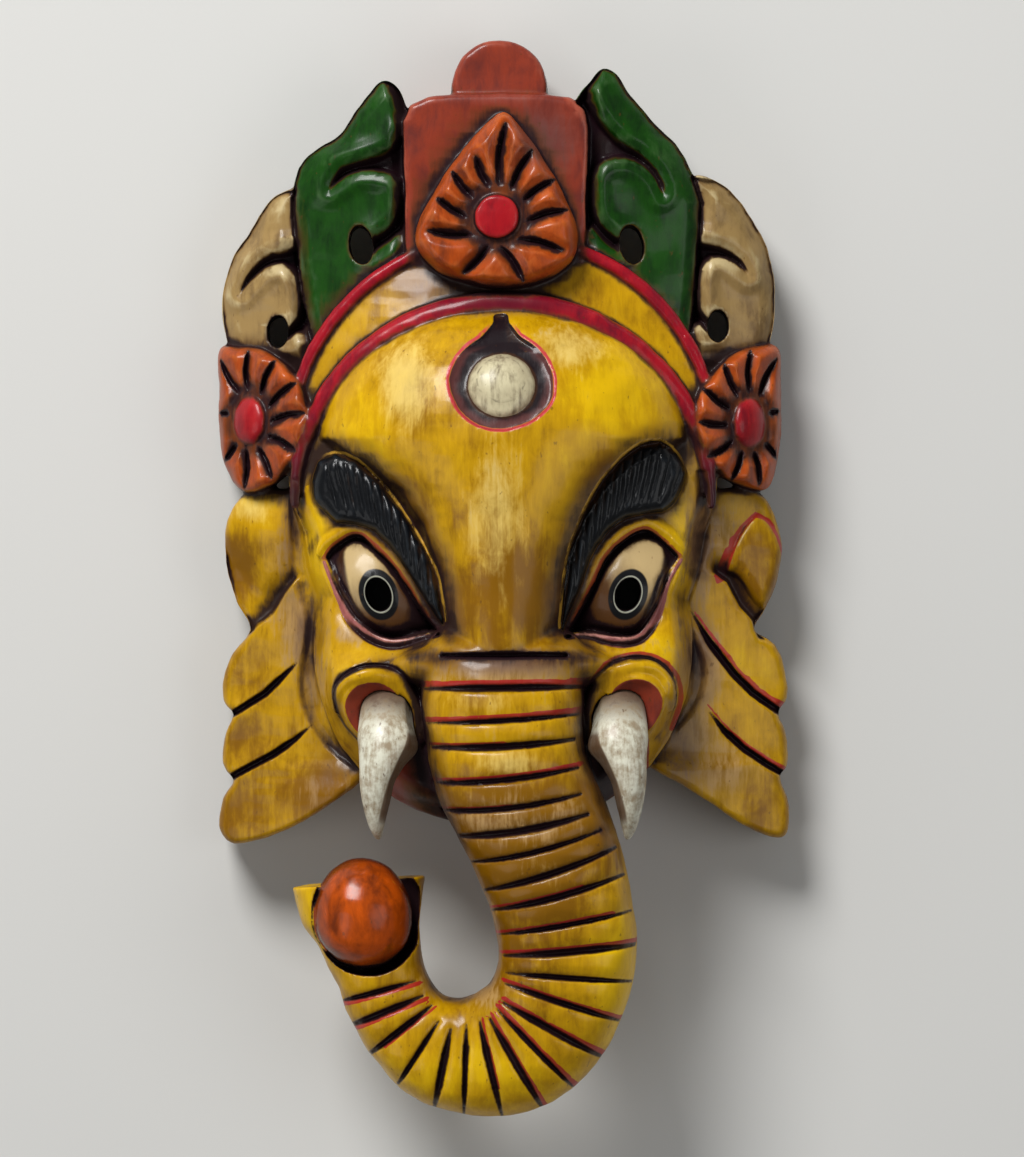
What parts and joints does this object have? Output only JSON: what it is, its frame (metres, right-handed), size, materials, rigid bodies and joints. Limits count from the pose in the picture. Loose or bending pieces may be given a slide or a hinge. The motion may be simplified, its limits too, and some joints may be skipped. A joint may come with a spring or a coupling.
{
  "type": "carved mask",
  "caption": "Hollow carved wooden wall mask of an elephant-headed deity, with leafy crown, pegged tusks, feathered ears and a grooved trunk curled round a sweet.",
  "frame": {"origin": "middle of the bounding box's base, on the plane of the flat back rim", "axes": "+Z out of the face, +Y towards the crown, +X towards the viewer's right; the mask lies on its back"},
  "size_m": [0.1923, 0.3591, 0.088],
  "materials": {
    "painted_carving": "hand painted ochre yellow with green, brick red, orange and black details, darkened in the recesses and varnished",
    "tusk": "off-white paint with brown stain at the root, satin"
  },
  "bodies": {
    "root": {"mask": "painted_carving", "tusk_left": "tusk", "tusk_right": "tusk"}
  },
  "joints": []
}
